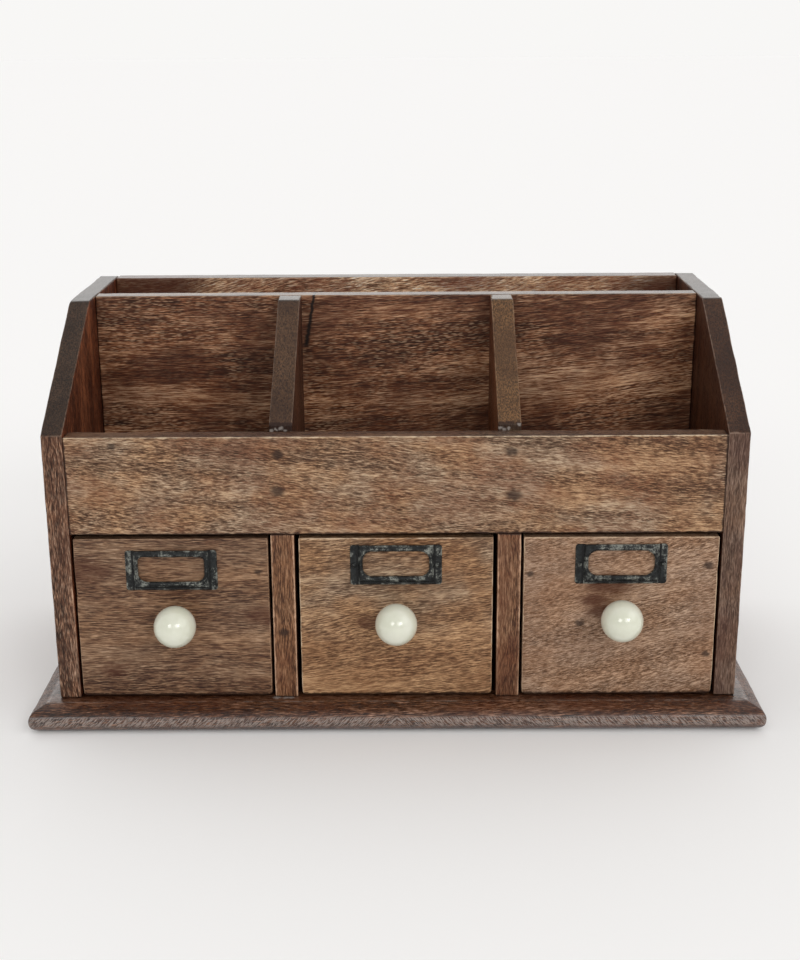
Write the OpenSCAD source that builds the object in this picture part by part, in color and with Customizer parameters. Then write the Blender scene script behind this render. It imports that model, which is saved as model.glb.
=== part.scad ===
// Wooden desk organizer: a letter slot and three open compartments over three small drawers.
// Millimetres, +Z up, +Y towards the back. The origin is the centre of the base board's underside.

/* [Carcass] */
// Width over the two side panels
body_w = 355; // [300:1:460]
// Depth from the front edges to the back panel's rear face
body_d = 173.5; // [160:0.5:230]
// Height from the floor to the flat top
total_h = 210; // [195:1:260]
// Height from the floor to the front corner of the side panels
front_corner_h = 157; // [150:1:180]
// Length of the flat top of the side panels
flat_top_d = 88; // [80:1:100]
// Side panel thickness
side_t = 11; // [9:0.5:14]
// Thickness of the partitions and upper dividers
partition_t = 12; // [9:0.5:14]
// Distance from the centre line to a partition's centre
partition_x = 58; // [50:1:75]
// Back panel thickness
back_t = 12; // [9:0.5:14]
// Letter divider thickness
letter_divider_t = 10.5; // [8:0.5:13]
// Width of the letter slot, from divider to back panel
letter_slot_d = 51.5; // [35:0.5:60]
// Thickness of the deck over the drawers
deck_t = 8; // [6:0.5:10]

/* [Front rail] */
// Rail thickness
rail_t = 11; // [9:0.5:14]
// Rail height
rail_h = 51.5; // [45:0.5:55]
// How far the rail's top lies under the side panels' front corners
rail_drop = 1; // [0:0.5:3]
// Height of an upper divider's front end above the rail
divider_step = 3.5; // [1:0.5:8]

/* [Base board] */
// Thickness of the base board
base_t = 14; // [13:0.5:18]
// How far the base stands out at the front and the sides
base_overhang = 14.5; // [9:0.5:16]
// Width of the flat margin outside the side panels
base_margin = 5.3; // [3:0.1:7]
// Radius of the rounded nose
nose_r = 6.2; // [5:0.1:6.4]
// Radius of the front corners seen from above
base_corner_r = 2; // [1:0.5:5]

/* [Drawers] */
// Gap between a drawer front and its opening, at the sides
front_gap = 1.4; // [0.8:0.1:2.5]
// Gap above a drawer front
top_gap = 2.1; // [0.8:0.1:4]
// Gap under a drawer
bottom_gap = 0.4; // [0.3:0.1:1.5]
// Thickness of a drawer front
front_t = 12; // [9:0.5:15]
// Thickness of a drawer's sides and back
box_t = 7; // [5:0.5:9]
// Height of a drawer's sides
box_h = 78; // [60:1:80]
// Thickness of a drawer's bottom panel
bottom_t = 4; // [3:0.5:5]
// Depth of the grooves that hold the bottom panel
groove_d = 3; // [2:0.5:4]
// Height of the grooves above the lower edge of the sides
groove_z = 6; // [4:0.5:10]

/* [Knobs] */
// Diameter of a knob's ball
knob_d = 21.6; // [16:0.2:26]
// Distance from the drawer front to the ball's centre
knob_reach = 15; // [13:0.5:18]
// Height of the knobs above the floor
knob_z = 61; // [40:1:64]
// Sideways shift of the left drawer's knob, which is fitted off centre
left_knob_shift = 2.7; // [0:0.1:4]
// How much lower the left drawer's knob is fitted
left_knob_drop = 0.7; // [0:0.1:2]
// Sideways shift of the right drawer's knob towards the middle
right_knob_shift = 0.6; // [0:0.1:2]
// How much higher the right drawer's knob is fitted
right_knob_lift = 1.4; // [0:0.1:2]

/* [Label holders] */
// Width over the wings
holder_w = 47; // [40:1:55]
// Height
holder_h = 21.6; // [18:0.2:26]
// Width of the raised pocket between the wings
pocket_w = 38.6; // [32:0.2:40]
// Sheet thickness
holder_sheet = 0.9; // [0.6:0.1:1.2]
// How far the pocket stands out from the drawer front
pocket_depth = 2.3; // [2:0.1:3]
// Width of the window
window_w = 34; // [28:0.5:36]
// Height of the window
window_h = 13.6; // [10:0.2:15]
// Height of the holders' centre above the floor
holder_z = 88; // [84:0.5:89]
// How much lower the left drawer's holder sits
left_holder_drop = 2.5; // [0:0.1:4]

/* [Fasteners] */
// Diameter of the brads' shanks
brad_d = 1.8; // [1.2:0.1:2.2]
// Diameter of the brads' heads
brad_head_d = 2.8; // [2.4:0.1:3.4]
// Length of the brads that join the carcass
brad_l = 28; // [22:1:32]
// Diameter of the base screws' shanks
screw_d = 3.5; // [3:0.1:4]
// Diameter of the base screws' heads
screw_head_d = 7; // [6:0.5:8]
// Length of the base screws
screw_l = 32; // [26:1:40]
// Diameter of the knob screws
knob_screw_d = 4; // [3:0.5:4]

/* [Hidden] */
$fn = 48;
eps = 0.01;
DRAWERS = ["left", "middle", "right"];
DRAWER_PARTS = ["front", "side_left", "side_right", "back", "bottom", "front_brads", "back_brads",
                "label_holder", "label_pins", "knob", "knob_screw"];
CARCASS = ["base_board", "side_panel_left", "side_panel_right", "back_panel", "letter_divider",
           "front_rail", "drawer_deck", "upper_divider_left", "upper_divider_right",
           "partition_left", "partition_right", "base_screws", "rail_brads", "side_brads_left",
           "side_brads_right", "back_brads", "divider_brads"];

base_w = body_w + 2 * base_overhang;
base_d = body_d + base_overhang;
front_y = base_overhang - base_d / 2;
back_y = base_d / 2;
inner_w = body_w - 2 * side_t;
inner_back_y = back_y - back_t;
divider_back_y = inner_back_y - letter_slot_d;
divider_front_y = divider_back_y - letter_divider_t;
rail_back_y = front_y + rail_t;
rail_top_z = front_corner_h - rail_drop;
deck_z = rail_top_z - rail_h;
deck_top_z = deck_z + deck_t;
slope_top_y = back_y - flat_top_d;
divider_front_z = rail_top_z + divider_step;

bay_edge_x = inner_w / 2;
partition_in_x = partition_x - partition_t / 2;
partition_out_x = partition_x + partition_t / 2;
side_bay_w = bay_edge_x - partition_out_x;
drawer_w = min(side_bay_w, 2 * partition_in_x) - 2 * front_gap;
side_bay_x = (bay_edge_x + partition_out_x) / 2;
drawer_x = [-side_bay_x, 0, side_bay_x];
drawer_z = base_t + bottom_gap;
front_h = deck_z - top_gap - drawer_z;
drawer_end_y = inner_back_y - 0.5;
box_y = front_y + front_t;
inner_box_w = drawer_w - 2 * box_t;
bottom_z = drawer_z + groove_z;
knob_x = [left_knob_shift, 0, -right_knob_shift];
knob_height = [knob_z - left_knob_drop, knob_z, knob_z + right_knob_lift];
holder_drop = [left_holder_drop, 0, 0];
holder_pin_x = (holder_w + pocket_w) / 4;

edge_r = 1;
lower_edge_r = 2.5;
slope_r = 5;
back_top_r = 3;
brad_head_l = 1;
small_brad_d = 1.4;
small_brad_head_d = 2.2;
small_brad_l = 18;
front_brad_l = 26;
window_band = 3.2;
pin_head_r = 1.3;
pin_shank_r = 0.6;
pin_l = 8;
knob_screw_head_d = 8;
knob_screw_head_l = 2.6;
knob_bore_l = 11;
knob_neck_r = 4;
knob_foot_r = 4.8;
knob_foot_l = 1.4;
screw_sink = 0.5;
front_brad_z = [38, 84];
base_screw_y = [front_y + 28, back_y - 36];

// ---- outline helpers ----
function unit(v) = v / norm(v);

// Arc of radius r that rounds the corner b between a and c
function corner_arc(a, b, c, r, steps = 5) =
    let (
        u = unit(a - b),
        w = unit(c - b),
        half = acos(u * w) / 2,
        centre = b + unit(u + w) * r / sin(half),
        p = b + u * r / tan(half) - centre,
        q = b + w * r / tan(half) - centre,
        turn = atan2(p.x * q.y - p.y * q.x, p * q),
        from = atan2(p.y, p.x)
    )
    [for (i = [0:steps]) centre + r * [cos(from + turn * i / steps), sin(from + turn * i / steps)]];

// Outline through points, each corner rounded by its radius, or left sharp at 0
function rounded(points, radii) =
    let (n = len(points))
    [for (i = [0:n - 1])
        each (radii[i] == 0 ? [points[i]]
            : corner_arc(points[(i + n - 1) % n], points[i], points[(i + 1) % n], radii[i]))];

function rectangle(x0, y0, x1, y1) = [[x0, y0], [x1, y0], [x1, y1], [x0, y1]];

// Solid from an outline in the Y-Z plane, between two X positions
module along_x(x0, x1) {
    translate([x0, 0, 0]) rotate([90, 0, 90]) linear_extrude(x1 - x0) children();
}

// Solid from an outline in the X-Z plane, between two Y positions
module along_y(y0, y1) {
    translate([0, y1, 0]) rotate([90, 0, 0]) linear_extrude(y1 - y0) children();
}

// Block from its low corner to its high corner
module block(low, high) {
    translate(low) cube(high - low);
}

// ---- fasteners, also used as the cutters of their own holes ----
// Brad that points along +Z from its head's outer face
module brad(length, d = brad_d, head_d = brad_head_d) {
    cylinder(d = head_d, h = brad_head_l);
    cylinder(d = d, h = length);
}

// Countersunk wood screw that points up, its head sunk into the underside
module base_screw() {
    head_l = (screw_head_d - screw_d) / 2;
    translate([0, 0, screw_sink]) cylinder(d1 = screw_head_d, d2 = screw_d, h = head_l);
    translate([0, 0, screw_sink]) cylinder(d = screw_d, h = screw_l);
}

module at_base_screws() {
    side_x = (body_w - side_t) / 2;
    for (x = [-side_x, -partition_x, partition_x, side_x], y = base_screw_y)
        translate([x, y, 0]) children();
}

module base_screw_solids() {
    at_base_screws() base_screw();
}

module rail_brad_solids() {
    for (x = [-1, 1] * partition_x, z = [rail_top_z - 9, rail_top_z - 30])
        translate([x, front_y, z]) rotate([-90, 0, 0]) brad(brad_l);
}

// Brads driven from outside through a side panel; side is -1 for left and 1 for right
module side_brad_solids(side) {
    rail_mid_y = front_y + rail_t / 2;
    divider_mid_y = (divider_front_y + divider_back_y) / 2;
    back_mid_y = (inner_back_y + back_y) / 2;
    spots = [
        [rail_mid_y, deck_z + 14], [rail_mid_y, rail_top_z - 12],
        [front_y + 45, deck_z + deck_t / 2], [front_y + 135, deck_z + deck_t / 2],
        [divider_mid_y, deck_top_z + 25], [divider_mid_y, total_h - 22],
        [back_mid_y, base_t + 26], [back_mid_y, deck_z], [back_mid_y, total_h - 22]
    ];
    for (s = spots)
        translate([side * body_w / 2, s[0], s[1]]) rotate([0, -90 * side, 0]) brad(brad_l);
}

// Brads driven from behind through the back panel into the partitions and the deck
module back_brad_solids() {
    for (x = [-1, 1] * partition_x, z = [base_t + 24, deck_z - 20])
        translate([x, back_y, z]) rotate([90, 0, 0]) brad(brad_l);
    for (x = [-1, 0, 1] * side_bay_x)
        translate([x, back_y, deck_z + deck_t / 2]) rotate([90, 0, 0]) brad(brad_l);
}

// Brads driven from the letter slot into the upper dividers
module divider_brad_solids() {
    for (x = [-1, 1] * partition_x, z = [deck_top_z + 22, total_h - 28])
        translate([x, divider_back_y, z]) rotate([90, 0, 0]) brad(brad_l);
}

// ---- carcass ----
// Outline of the moulded edge, from the underside round the nose and up the bevel to the flat top
function moulded_edge(steps = 12) =
    let (
        centre = [nose_r, nose_r],
        shoulder = [base_overhang - base_margin, base_t],
        reach = shoulder - centre,
        last = atan2(reach.y, reach.x) + acos(nose_r / norm(reach)),
        turn = last - 270
    )
    [for (i = [0:steps]) centre + nose_r * [cos(270 + turn * i / steps), sin(270 + turn * i / steps)],
        shoulder];

// Section of the base board with a moulded edge at 0 and a plain or moulded end at length
module base_section(length, both_ends) {
    edge = moulded_edge();
    far_edge = [for (i = [len(edge) - 1:-1:0]) [length - edge[i].x, edge[i].y]];
    polygon([each edge, each (both_ends ? far_edge : [[length, base_t], [length, 0]])]);
}

module base_board() {
    plan = rectangle(-base_w / 2, -base_d / 2, base_w / 2, base_d / 2);
    color("#4a3024") difference() {
        intersection() {
            along_x(-base_w / 2, base_w / 2) translate([-base_d / 2, 0]) base_section(base_d, false);
            along_y(-base_d / 2, base_d / 2) translate([-base_w / 2, 0]) base_section(base_w, true);
            linear_extrude(base_t) polygon(rounded(plan, [base_corner_r, base_corner_r, 0, 0]));
        }
        base_screw_solids();
        at_base_screws() translate([0, 0, -eps]) cylinder(d = screw_head_d, h = screw_sink + 2 * eps);
    }
}

module side_panel(side) {
    x0 = side < 0 ? -body_w / 2 : inner_w / 2;
    outline = [[front_y, base_t], [back_y, base_t], [back_y, total_h],
               [slope_top_y, total_h], [front_y, front_corner_h]];
    color("#4b3529") difference() {
        along_x(x0, x0 + side_t) polygon(rounded(outline, [0, 0, back_top_r, slope_r, edge_r]));
        side_brad_solids(side);
        base_screw_solids();
    }
}

module back_panel() {
    color("#5b4030") difference() {
        block([-inner_w / 2, inner_back_y, base_t], [inner_w / 2, back_y, total_h]);
        side_brad_solids(-1);
        side_brad_solids(1);
        back_brad_solids();
    }
}

module letter_divider() {
    color("#6b4a37") difference() {
        block([-inner_w / 2, divider_front_y, deck_top_z], [inner_w / 2, divider_back_y, total_h]);
        side_brad_solids(-1);
        side_brad_solids(1);
        divider_brad_solids();
    }
}

module front_rail() {
    outline = rectangle(front_y, deck_z, rail_back_y, rail_top_z);
    color("#8d6a50") difference() {
        along_x(-inner_w / 2, inner_w / 2) polygon(rounded(outline, [edge_r, 0, 0, edge_r]));
        side_brad_solids(-1);
        side_brad_solids(1);
        rail_brad_solids();
    }
}

module drawer_deck() {
    color("#5b4030") difference() {
        block([-inner_w / 2, rail_back_y, deck_z], [inner_w / 2, inner_back_y, deck_top_z]);
        side_brad_solids(-1);
        side_brad_solids(1);
        back_brad_solids();
    }
}

module upper_divider(x) {
    outline = [[rail_back_y, deck_top_z], [divider_front_y, deck_top_z], [divider_front_y, total_h],
               [slope_top_y, total_h], [rail_back_y, divider_front_z]];
    half_t = partition_t / 2;
    color("#5d4232") difference() {
        along_x(x - half_t, x + half_t) polygon(rounded(outline, [0, 0, 0, slope_r, 0]));
        rail_brad_solids();
        divider_brad_solids();
    }
}

module partition(x) {
    color("#5a3d31") difference() {
        block([x - partition_t / 2, front_y, base_t], [x + partition_t / 2, inner_back_y, deck_z]);
        base_screw_solids();
        back_brad_solids();
    }
}

// ---- drawers: d is 0 for left, 1 for middle and 2 for right ----
module at_drawer(d) {
    translate([drawer_x[d], 0, 0]) children();
}

module drawer_front_brad_solids() {
    for (x = [-1, 1] * (drawer_w - box_t) / 2, z = front_brad_z)
        translate([x, front_y, z]) rotate([-90, 0, 0]) brad(front_brad_l);
}

module drawer_back_brad_solids() {
    for (side = [-1, 1], z = [bottom_z + 18, drawer_z + box_h - 14])
        translate([side * drawer_w / 2, drawer_end_y - box_t / 2, z])
            rotate([0, -90 * side, 0]) brad(small_brad_l, small_brad_d, small_brad_head_d);
}

module label_pin_solids() {
    for (x = [-1, 1] * holder_pin_x) translate([x, front_y - holder_sheet, 0]) {
        rotate([-90, 0, 0]) cylinder(r = pin_shank_r, h = pin_l);
        intersection() {
            sphere(pin_head_r);
            block([-2, -2, -2], [2, 0, 2]);
        }
    }
}

module knob_screw_solid(d) {
    translate([knob_x[d], box_y, knob_height[d]]) rotate([90, 0, 0]) {
        cylinder(d = knob_screw_d, h = front_t + knob_bore_l - 1);
        difference() {
            translate([0, 0, -knob_screw_head_l]) cylinder(d = knob_screw_head_d, h = knob_screw_head_l);
            for (a = [0, 90]) rotate(a) translate([0, 0, -knob_screw_head_l - eps])
                linear_extrude(1.5) square([4.8, 1], center = true);
        }
    }
}

module drawer_front(d) {
    outline = rectangle(front_y, drawer_z, box_y, drawer_z + front_h);
    color("#8a664e") at_drawer(d) difference() {
        along_x(-drawer_w / 2, drawer_w / 2) polygon(rounded(outline, [lower_edge_r, 0, 0, edge_r]));
        block([-inner_box_w / 2 - groove_d, box_y - groove_d, bottom_z],
              [inner_box_w / 2 + groove_d, box_y + eps, bottom_z + bottom_t]);
        drawer_front_brad_solids();
        translate([0, 0, holder_z - holder_drop[d]]) label_pin_solids();
        translate([knob_x[d], box_y + eps, knob_height[d]]) rotate([90, 0, 0])
            cylinder(d = knob_screw_d + 0.4, h = front_t + 2 * eps);
    }
}

module drawer_side(d, side) {
    x0 = side < 0 ? -drawer_w / 2 : inner_box_w / 2;
    groove_x = side < 0 ? inner_box_w / -2 - groove_d : inner_box_w / 2 - eps;
    color("#8f6f55") at_drawer(d) difference() {
        block([x0, box_y, drawer_z], [x0 + box_t, drawer_end_y, drawer_z + box_h]);
        block([groove_x, box_y - eps, bottom_z],
              [groove_x + groove_d + eps, drawer_end_y + eps, bottom_z + bottom_t]);
        drawer_front_brad_solids();
        drawer_back_brad_solids();
    }
}

// The back panel of a drawer stands on its bottom panel
module drawer_back(d) {
    color("#8f6f55") at_drawer(d) difference() {
        block([-inner_box_w / 2, drawer_end_y - box_t, bottom_z + bottom_t],
              [inner_box_w / 2, drawer_end_y, drawer_z + box_h]);
        drawer_back_brad_solids();
    }
}

module drawer_bottom(d) {
    color("#a98862") at_drawer(d)
        block([-inner_box_w / 2 - groove_d, box_y - groove_d, bottom_z],
              [inner_box_w / 2 + groove_d, drawer_end_y, bottom_z + bottom_t]);
}

// Sheet metal card frame: two wings, and a pocket that is open at the top and has a window
module label_holder(d) {
    low = -holder_h / 2;
    high = holder_h / 2;
    window_low = high - window_band - window_h;
    window = rectangle(-window_w / 2, window_low, window_w / 2, window_low + window_h);
    wings = rectangle(-holder_w / 2, low, holder_w / 2, high);
    pocket = rectangle(-pocket_w / 2, low + 0.4, pocket_w / 2, high);
    inner = pocket_w / 2 - holder_sheet;
    inner_y = pocket_depth - holder_sheet;
    color("#25292a") at_drawer(d) translate([0, 0, holder_z - holder_drop[d]]) difference() {
        union() {
            along_y(front_y - holder_sheet, front_y) polygon(rounded(wings, [1.6, 1.6, 1.6, 1.6]));
            along_y(front_y - pocket_depth, front_y) polygon(rounded(pocket, [2, 2, 0.6, 0.6]));
        }
        along_y(front_y - inner_y, front_y + eps) polygon(rectangle(-inner, low + 1.4, inner, high + 1));
        along_y(front_y - pocket_depth - eps, front_y) polygon(rounded(window, [4.4, 4.4, 2.6, 2.6]));
        label_pin_solids();
    }
}

module knob(d) {
    place = [knob_x[d], front_y, knob_height[d]];
    color("#e9e4d2") at_drawer(d) translate(place) rotate([90, 0, 0]) difference() {
        union() {
            translate([0, 0, knob_reach]) sphere(d = knob_d);
            cylinder(r = knob_neck_r, h = knob_reach);
            cylinder(r = knob_foot_r, h = knob_foot_l);
        }
        translate([0, 0, -eps]) cylinder(d = knob_screw_d, h = knob_bore_l);
    }
}

base_board();
side_panel(-1);  // side_panel_left
side_panel(1);  // side_panel_right
back_panel();
letter_divider();
front_rail();
drawer_deck();
upper_divider(-partition_x);  // upper_divider_left
upper_divider(partition_x);  // upper_divider_right
partition(-partition_x);  // partition_left
partition(partition_x);  // partition_right
color("#b0b0a8") base_screw_solids();  // base_screws
color("#3a332e") rail_brad_solids();  // rail_brads
color("#3a332e") side_brad_solids(-1);  // side_brads_left
color("#3a332e") side_brad_solids(1);  // side_brads_right
color("#3a332e") back_brad_solids();  // back_brads
color("#3a332e") divider_brad_solids();  // divider_brads

for (d = [0:2]) {
    name = str(DRAWERS[d], "_drawer_");
    drawer_front(d);
    drawer_side(d, -1);
    drawer_side(d, 1);
    drawer_back(d);
    drawer_bottom(d);
    color("#3a332e") at_drawer(d) drawer_front_brad_solids();
    color("#3a332e") at_drawer(d) drawer_back_brad_solids();
    label_holder(d);
    color("#4a4a46") at_drawer(d) translate([0, 0, holder_z - holder_drop[d]]) label_pin_solids();
    knob(d);
    color("#b0b0a8") at_drawer(d) knob_screw_solid(d);
}
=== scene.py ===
import math
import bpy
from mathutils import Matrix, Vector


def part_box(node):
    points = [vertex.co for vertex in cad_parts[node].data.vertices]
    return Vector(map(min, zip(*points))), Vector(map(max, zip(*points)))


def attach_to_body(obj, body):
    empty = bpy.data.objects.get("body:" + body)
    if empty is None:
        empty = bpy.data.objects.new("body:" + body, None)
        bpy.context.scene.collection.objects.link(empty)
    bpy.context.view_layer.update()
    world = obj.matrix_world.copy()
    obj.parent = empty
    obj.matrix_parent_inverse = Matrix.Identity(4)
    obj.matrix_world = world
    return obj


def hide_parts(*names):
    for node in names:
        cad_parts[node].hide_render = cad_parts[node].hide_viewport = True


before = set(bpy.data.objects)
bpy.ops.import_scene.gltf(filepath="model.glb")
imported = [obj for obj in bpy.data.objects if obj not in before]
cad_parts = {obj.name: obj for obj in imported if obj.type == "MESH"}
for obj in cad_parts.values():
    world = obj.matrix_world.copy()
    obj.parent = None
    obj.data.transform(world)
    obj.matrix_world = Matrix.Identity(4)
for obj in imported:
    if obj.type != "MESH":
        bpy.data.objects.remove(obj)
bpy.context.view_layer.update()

from types import SimpleNamespace

import bmesh
import bpy
import numpy as np
from mathutils import Matrix

MM = 0.001
DRAWERS = ("left", "middle", "right")
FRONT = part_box("front_rail")[0].y
HALF_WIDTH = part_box("side_panel_right")[1].x

# ---- camera, floor and light -------------------

CAMERA_PLACE = (0.0059, -0.7910, 0.3497)
CAMERA_YAW, CAMERA_PITCH, CAMERA_ROLL = (math.radians(a) for a in (-0.29, -16.92, -0.35))
CAMERA_LENS = 55.40
PALE = (0.939, 0.930, 0.917, 1)
FLOOR = (0.93, 0.93, 0.93, 1)
WHITE_ROOM = (1.0, 0.985, 0.97, 1)
ROOM_FRONT, ROOM_BACK = 0.50, 1.12
# Name, degrees to the right of the front, degrees up, degrees across, strength
LAMPS = (
    ("left", -21, 26, 18, 0.34),
    ("right", 19, 26, 22, 0.32),
    ("right_outer", 31, 26, 17, 0.32),
    ("side", 62, 35, 45, 0.35),
)


def make_camera():
    data = bpy.data.cameras.new("camera")
    data.lens = CAMERA_LENS
    camera = bpy.data.objects.new("camera", data)
    bpy.context.scene.collection.objects.link(camera)
    camera.matrix_world = (
        Matrix.Translation(CAMERA_PLACE)
        @ Matrix.Rotation(-CAMERA_YAW, 4, "Z")
        @ Matrix.Rotation(math.pi / 2 + CAMERA_PITCH, 4, "X")
        @ Matrix.Rotation(CAMERA_ROLL, 4, "Z")
    )
    bpy.context.scene.camera = camera


def far_lamp(name, azimuth, elevation, spread, strength):
    """A round soft light far away, azimuth degrees to the right of the front and elevation degrees up."""
    data = bpy.data.lights.new(name, "SUN")
    data.angle = math.radians(spread)
    data.energy = strength
    lamp = bpy.data.objects.new(name, data)
    bpy.context.scene.collection.objects.link(lamp)
    lamp.rotation_euler = (math.radians(90 - elevation), 0, math.radians(azimuth))


def make_studio():
    """A white room, brighter behind the object, seen as a plain pale backdrop, with round lamps in front."""
    world = bpy.data.worlds.new("room")
    bpy.context.scene.world = world
    world.use_nodes = True
    nodes, links = world.node_tree.nodes, world.node_tree.links
    direction = nodes.new("ShaderNodeTexCoord")
    split = nodes.new("ShaderNodeSeparateXYZ")
    links.new(direction.outputs["Generated"], split.inputs[0])
    level = nodes.new("ShaderNodeMapRange")
    level.interpolation_type = "SMOOTHSTEP"
    for key, value in (("From Min", -0.8), ("From Max", 0.8), ("To Min", ROOM_FRONT), ("To Max", ROOM_BACK)):
        level.inputs[key].default_value = value
    links.new(split.outputs["Y"], level.inputs["Value"])
    room = nodes["Background"]
    room.inputs["Color"].default_value = WHITE_ROOM
    links.new(level.outputs[0], room.inputs["Strength"])
    backdrop = nodes.new("ShaderNodeBackground")
    backdrop.inputs["Color"].default_value = PALE
    seen = nodes.new("ShaderNodeLightPath")
    mix = nodes.new("ShaderNodeMixShader")
    links.new(seen.outputs["Is Camera Ray"], mix.inputs[0])
    links.new(room.outputs[0], mix.inputs[1])
    links.new(backdrop.outputs[0], mix.inputs[2])
    links.new(mix.outputs[0], nodes["World Output"].inputs["Surface"])

    for lamp in LAMPS:
        far_lamp(*lamp)

    bpy.ops.mesh.primitive_plane_add(size=40)
    floor = bpy.context.object
    floor.name = "floor"
    floor.location.z = -0.1 * MM
    pale_floor = Shader("pale_floor")
    pale_floor.principled({"Base Color": FLOOR, "Roughness": 0.9, "Specular IOR Level": 0.0})
    floor.data.materials.append(pale_floor.material)


# ---- materials ---------------------------------


def paint(code):
    """Linear colour of an sRGB code such as "#856b53"."""
    levels = [int(code[i : i + 2], 16) / 255 for i in (1, 3, 5)]
    return (*(v / 12.92 if v <= 0.04045 else ((v + 0.055) / 1.055) ** 2.4 for v in levels), 1)


class Shader:
    """A node material with short calls, named t below. Inputs are numbers, tuples or other nodes' outputs."""

    def __init__(self, name):
        self.material = bpy.data.materials.new(name)
        self.material.use_nodes = True
        self.tree = self.material.node_tree

    def fill(self, node, inputs):
        for key, value in inputs.items():
            if isinstance(value, bpy.types.NodeSocket):
                self.tree.links.new(value, node.inputs[key])
            else:
                node.inputs[key].default_value = value

    def node(self, kind, inputs, **settings):
        made = self.tree.nodes.new("ShaderNode" + kind)
        for key, value in settings.items():
            setattr(made, key, value)
        self.fill(made, inputs)
        return made

    def principled(self, inputs):
        self.fill(self.tree.nodes["Principled BSDF"], inputs)

    def place(self):
        return self.node("TexCoord", {}).outputs["Object"]

    def attribute(self, name):
        return self.node("Attribute", {}, attribute_name=name).outputs["Fac"]

    def math(self, operation, a, b=0.0):
        return self.node("Math", {0: a, 1: b}, operation=operation).outputs[0]

    def vector(self, operation, a, b):
        return self.node("VectorMath", {0: a, 1: b}, operation=operation).outputs[0]

    def part(self, vector, axis):
        """One component of a vector, by its letter."""
        return self.node("SeparateXYZ", {0: vector}).outputs[axis]

    def noise(self, vector, density, detail=3.0, roughness=0.55, output=0):
        """Smooth noise round 0.5. density is its features per metre, one number or one for each direction."""
        if isinstance(density, tuple):
            vector, density = self.vector("MULTIPLY", vector, density), 1.0
        inputs = {"Vector": vector, "Scale": density, "Detail": detail, "Roughness": roughness}
        return self.node("TexNoise", inputs).outputs[output]

    def between(self, value, low, high, start=0.0, end=1.0):
        """value from low to high becomes start to end, smoothly."""
        inputs = {"Value": value, "From Min": low, "From Max": high, "To Min": start, "To Max": end}
        return self.node("MapRange", inputs, interpolation_type="SMOOTHSTEP").outputs[0]

    def mix(self, share, a, b, blend="MIX"):
        made = self.node("Mix", {0: share, 6: a, 7: b}, data_type="RGBA", blend_type=blend)
        return made.outputs[2]

    def ramp(self, value, stops):
        made = self.node("ValToRGB", {"Fac": value})
        elements = made.color_ramp.elements
        while len(elements) < len(stops):
            elements.new(0.5)
        for element, (position, colour) in zip(elements, stops):
            element.position = position
            element.color = colour
        return made.outputs["Color"]

    def shake(self, vector, density, reach):
        """Smooth random offsets up to about reach, across the grain only."""
        waves = self.noise(vector, density, detail=1.5, output=1)
        return self.vector("MULTIPLY", self.vector("SUBTRACT", waves, (0.5, 0.5, 0.5)), (0, reach, reach))

    def dashes(self, grain, density, full, gone):
        """Short strokes along the grain: 1 in the middle of a stroke, and 0 between strokes."""
        cells = self.node("TexVoronoi", {"Vector": self.vector("MULTIPLY", grain, density), "Scale": 1.0})
        return self.between(cells.outputs["Distance"], full, gone, 1.0, 0.0)

    def bump(self, height, distance, strength):
        return self.node("Bump", {"Height": height, "Distance": distance, "Strength": strength}).outputs[0]


PLAIN_WOOD = {
    # The grain: its direction, its lean in degrees, its upward sweep, and how wavy it is
    "axis": "X", "tilt": 0.0, "sweep": 0.0, "waves": 1.0,
    # The weight of the growth rings, the length of the fibres, and the strength of pores and pale flecks
    "bands": 0.45, "length": 1.0, "pore": 0.75, "fleck": 0.0,
    # Blotches of stain, and a warm or cool tint in patches, all over or only below a height
    "stain": 0.4, "stain_tone": "#4a2a1c", "warm": "#fff7ee", "warm_below": None,
    # Colours across the grain; painted shade and reddish bounce light on the X faces (all, or those that face
    # inward); painted sheen and shade on the tops; a tint of the rear
    "end_tones": None, "face_tint": None, "inward": 0, "top_tint": None, "rear_tint": None,
    # Wear along the edges: its strength, its colour, which also paints the grey sheen on a moulded nose, and
    # how far in it reaches, in mm
    "wear": 0.6, "worn": "#c8ad90", "rub": 0.75,
    # Marks as (x, y, z, reach): dark spots, soft smudges, one of them a painted knob shadow, and dried glue.
    # A crack is its two ends as (x, z)
    "spots": (), "smudges": (), "smudge": 0.6, "residue": (), "crack": None,
    # The finish: roughness, varnish on what faces sideways or up, and slanting plane marks on the front
    "polish": 0.5, "coat": 0.0, "top_coat": 0.8, "coat_roughness": 0.2, "specular": 0.25, "chatter": 0.0,
}
# Dirt with painted shade at joints, smudges with one painted knob shadow, dark spots, glue and a crack
DIRT_AND_SHADE_TONE, SMUDGE_AND_SHADOW_TONE, SPOT_TONE = "#26130c", "#4a2413", "#2a1b14"
GLUE_TONE, CRACK_TONE = "#948c86", "#120a06"


def grain_place(t, place, look, seed):
    """Coordinates whose X runs along the grain, with its sweep, lean and waves."""
    if look.sweep:
        run = t.math("ADD", t.part(place, "X"), HALF_WIDTH)
        rise = t.math("MULTIPLY", t.math("MULTIPLY", run, run), look.sweep)
        place = t.vector("SUBTRACT", place, t.node("CombineXYZ", {"Z": rise}).outputs[0])
    upright = math.pi / 2 if look.axis == "Z" else 0
    turn = (0, math.radians(look.tilt) + upright, math.pi / 2 if look.axis == "Y" else 0)
    start = (0.37 * seed, 0.71 * seed, 0.53 * seed)
    grain = t.node("Mapping", {"Vector": place, "Rotation": turn, "Location": start}).outputs[0]
    broad = t.shake(grain, (9, 26, 26), 0.010 * look.waves)
    local = t.shake(grain, (70, 300, 300), 0.0009 * look.waves)
    return t.vector("ADD", t.vector("ADD", grain, broad), local)


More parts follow.
